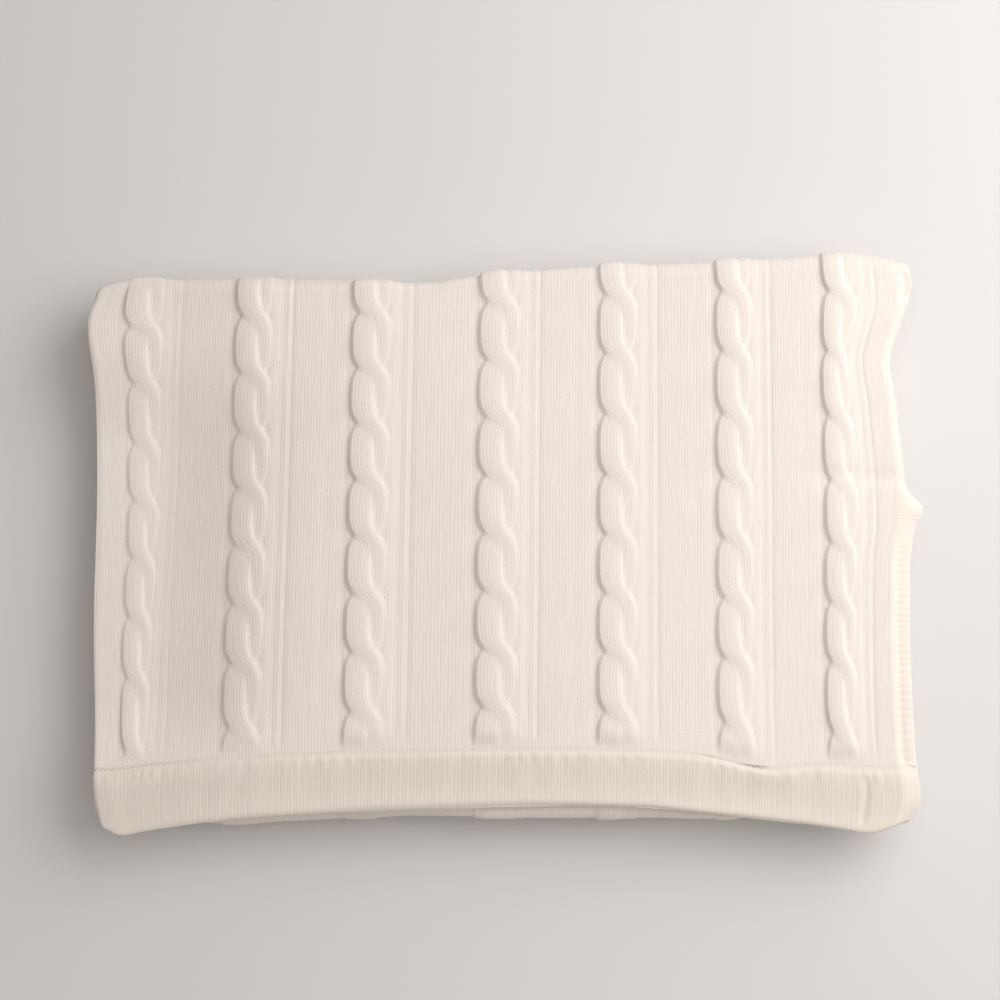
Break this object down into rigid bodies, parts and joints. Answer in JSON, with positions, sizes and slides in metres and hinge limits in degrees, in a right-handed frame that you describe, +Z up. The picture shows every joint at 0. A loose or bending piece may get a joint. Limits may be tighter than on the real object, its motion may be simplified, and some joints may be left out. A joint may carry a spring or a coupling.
{
  "type": "folded throw blanket",
  "caption": "Cream cable-knit throw blanket folded in half and turned back and forth into a flat pile that unfolds panel by panel.",
  "frame": {"origin": "centre of the pile's footprint on the surface it lies on", "axes": "+X to the right, towards the open bordered edges, along the pile's longest side; +Y to the back, away from the hem on top; +Z up, through the pile's thickness"},
  "size_m": [0.3858, 0.2558, 0.0396],
  "materials": {
    "cable_knit": "soft matt cotton knit",
    "ribbed_knit": "soft matt ribbed knit",
    "linking_thread": "matt cotton thread"
  },
  "bodies": {
    "panel_1": {"field_panel_1": "cable_knit", "border_a_panel_1": "ribbed_knit", "border_b_panel_1": "ribbed_knit", "hem_band_start": "ribbed_knit", "hem_seam_start": "linking_thread", "field_turn_1": "cable_knit", "border_a_turn_1": "ribbed_knit", "border_b_turn_1": "ribbed_knit"},
    "panel_2": {"field_panel_2": "cable_knit", "border_a_panel_2": "ribbed_knit", "border_b_panel_2": "ribbed_knit", "field_turn_2": "cable_knit", "border_a_turn_2": "ribbed_knit", "border_b_turn_2": "ribbed_knit"},
    "panel_3": {"field_panel_3": "cable_knit", "border_a_panel_3": "ribbed_knit", "border_b_panel_3": "ribbed_knit", "field_turn_3": "cable_knit", "border_a_turn_3": "ribbed_knit", "border_b_turn_3": "ribbed_knit"},
    "panel_4": {"field_panel_4": "cable_knit", "border_a_panel_4": "ribbed_knit", "border_b_panel_4": "ribbed_knit", "hem_band_end": "ribbed_knit", "hem_seam_end": "linking_thread"}
  },
  "joints": [
    {"name": "back_turn_low", "type": "hinge", "parent": "panel_1", "child": "panel_2", "pos_m": [0, 0.12411, 0.0098], "axis": [-1, 0, 0], "range_deg": [0, 179.5], "deforming": ["field_turn_1", "border_a_turn_1", "border_b_turn_1"]},
    {"name": "front_turn", "type": "hinge", "parent": "panel_2", "child": "panel_3", "pos_m": [0, -0.12411, 0.0198], "axis": [1, 0, 0], "range_deg": [0, 179.5], "deforming": ["field_turn_2", "border_a_turn_2", "border_b_turn_2"]},
    {"name": "back_turn_high", "type": "hinge", "parent": "panel_3", "child": "panel_4", "pos_m": [0, 0.12411, 0.0298], "axis": [-1, 0, 0], "range_deg": [0, 179.5], "deforming": ["field_turn_3", "border_a_turn_3", "border_b_turn_3"]}
  ]
}
